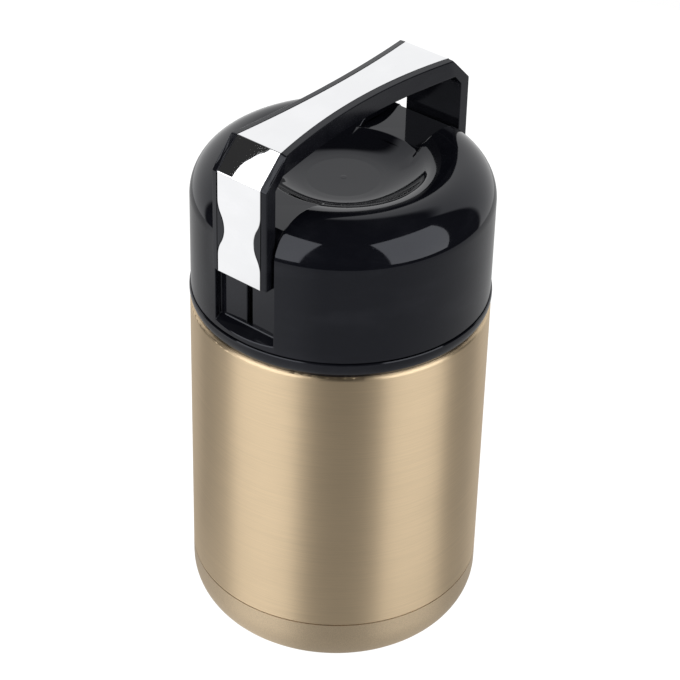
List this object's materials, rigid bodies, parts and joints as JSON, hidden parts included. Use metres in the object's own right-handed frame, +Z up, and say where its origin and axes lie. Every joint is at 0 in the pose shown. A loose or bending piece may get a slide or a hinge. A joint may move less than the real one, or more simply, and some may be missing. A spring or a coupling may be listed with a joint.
{
  "type": "insulated food jar",
  "caption": "Vacuum food jar with a domed screw-on lid, a carry handle that slides into the lid's side channels, and a press-in vented stopper.",
  "frame": {"origin": "centre of the base, on the surface it stands on", "axes": "+Z up along the jar's axis; X across the jar through the two handle legs; Y square to both"},
  "size_m": [0.1184, 0.1178, 0.2334],
  "materials": {
    "gold_brushed_steel": "champagne tinted steel, brushed round the body",
    "gold_satin_cap": "satin champagne lacquer",
    "bare_steel": "bare drawn stainless steel, electropolished inside",
    "solder": "dull grey metal",
    "black_gloss": "high gloss black",
    "black_handle": "semi-gloss black",
    "black_satin": "fine moulded satin black",
    "chrome_trim": "mirror bright metallised plastic",
    "natural_acetal": "natural low-friction plastic",
    "silicone": "translucent grey silicone",
    "white_foam": "closed-cell foam",
    "vent_red": "satin dark red",
    "spring_wire": "drawn wire"
  },
  "bodies": {
    "vessel": {"outer_shell": "gold_brushed_steel", "inner_liner": "bare_steel", "base_plate": "bare_steel", "seal_bead": "solder", "getter": "solder", "base_cap": "gold_satin_cap", "neck_collar": "black_gloss", "collar_gasket": "silicone"},
    "lid_seal": {"lid_gasket": "silicone"},
    "lid": {"lid_shell": "black_gloss", "lid_liner": "black_satin"},
    "handle": {"handle_frame": "black_handle", "handle_trim": "chrome_trim", "slider_shoe_right": "natural_acetal", "slider_shoe_left": "natural_acetal"},
    "stopper": {"stopper_body": "black_satin", "stopper_cover": "black_satin", "stopper_foam": "white_foam", "stopper_gasket": "silicone", "vent_spring": "spring_wire"},
    "vent": {"vent_button": "vent_red", "vent_seal": "silicone"}
  },
  "joints": [
    {"name": "lid_rise", "type": "slide", "parent": "vessel", "child": "lid_seal", "axis": [0, 0, 1], "range_m": [0, 0.0241]},
    {"name": "lid_turn", "type": "hinge", "parent": "lid_seal", "child": "lid", "pos_m": [0, 0, 0.1525], "axis": [0, 0, 1], "range_deg": [0, 864]},
    {"name": "handle_slide", "type": "slide", "parent": "lid", "child": "handle", "axis": [0, 0, -1], "range_m": [0, 0.021]},
    {"name": "stopper_lift", "type": "slide", "parent": "vessel", "child": "stopper", "axis": [0, 0, 1], "range_m": [0, 0.017]},
    {"name": "vent_press", "type": "slide", "parent": "stopper", "child": "vent", "axis": [0, 0, -1], "range_m": [0, 0.0025], "stiffness_N_per_m": 400, "springref_m": -0.003, "deforming": ["vent_spring"]}
  ],
  "couplings": [
    {"joint": "lid_rise", "follows": "lid_turn", "m_per_rad": 0.0015915}
  ]
}
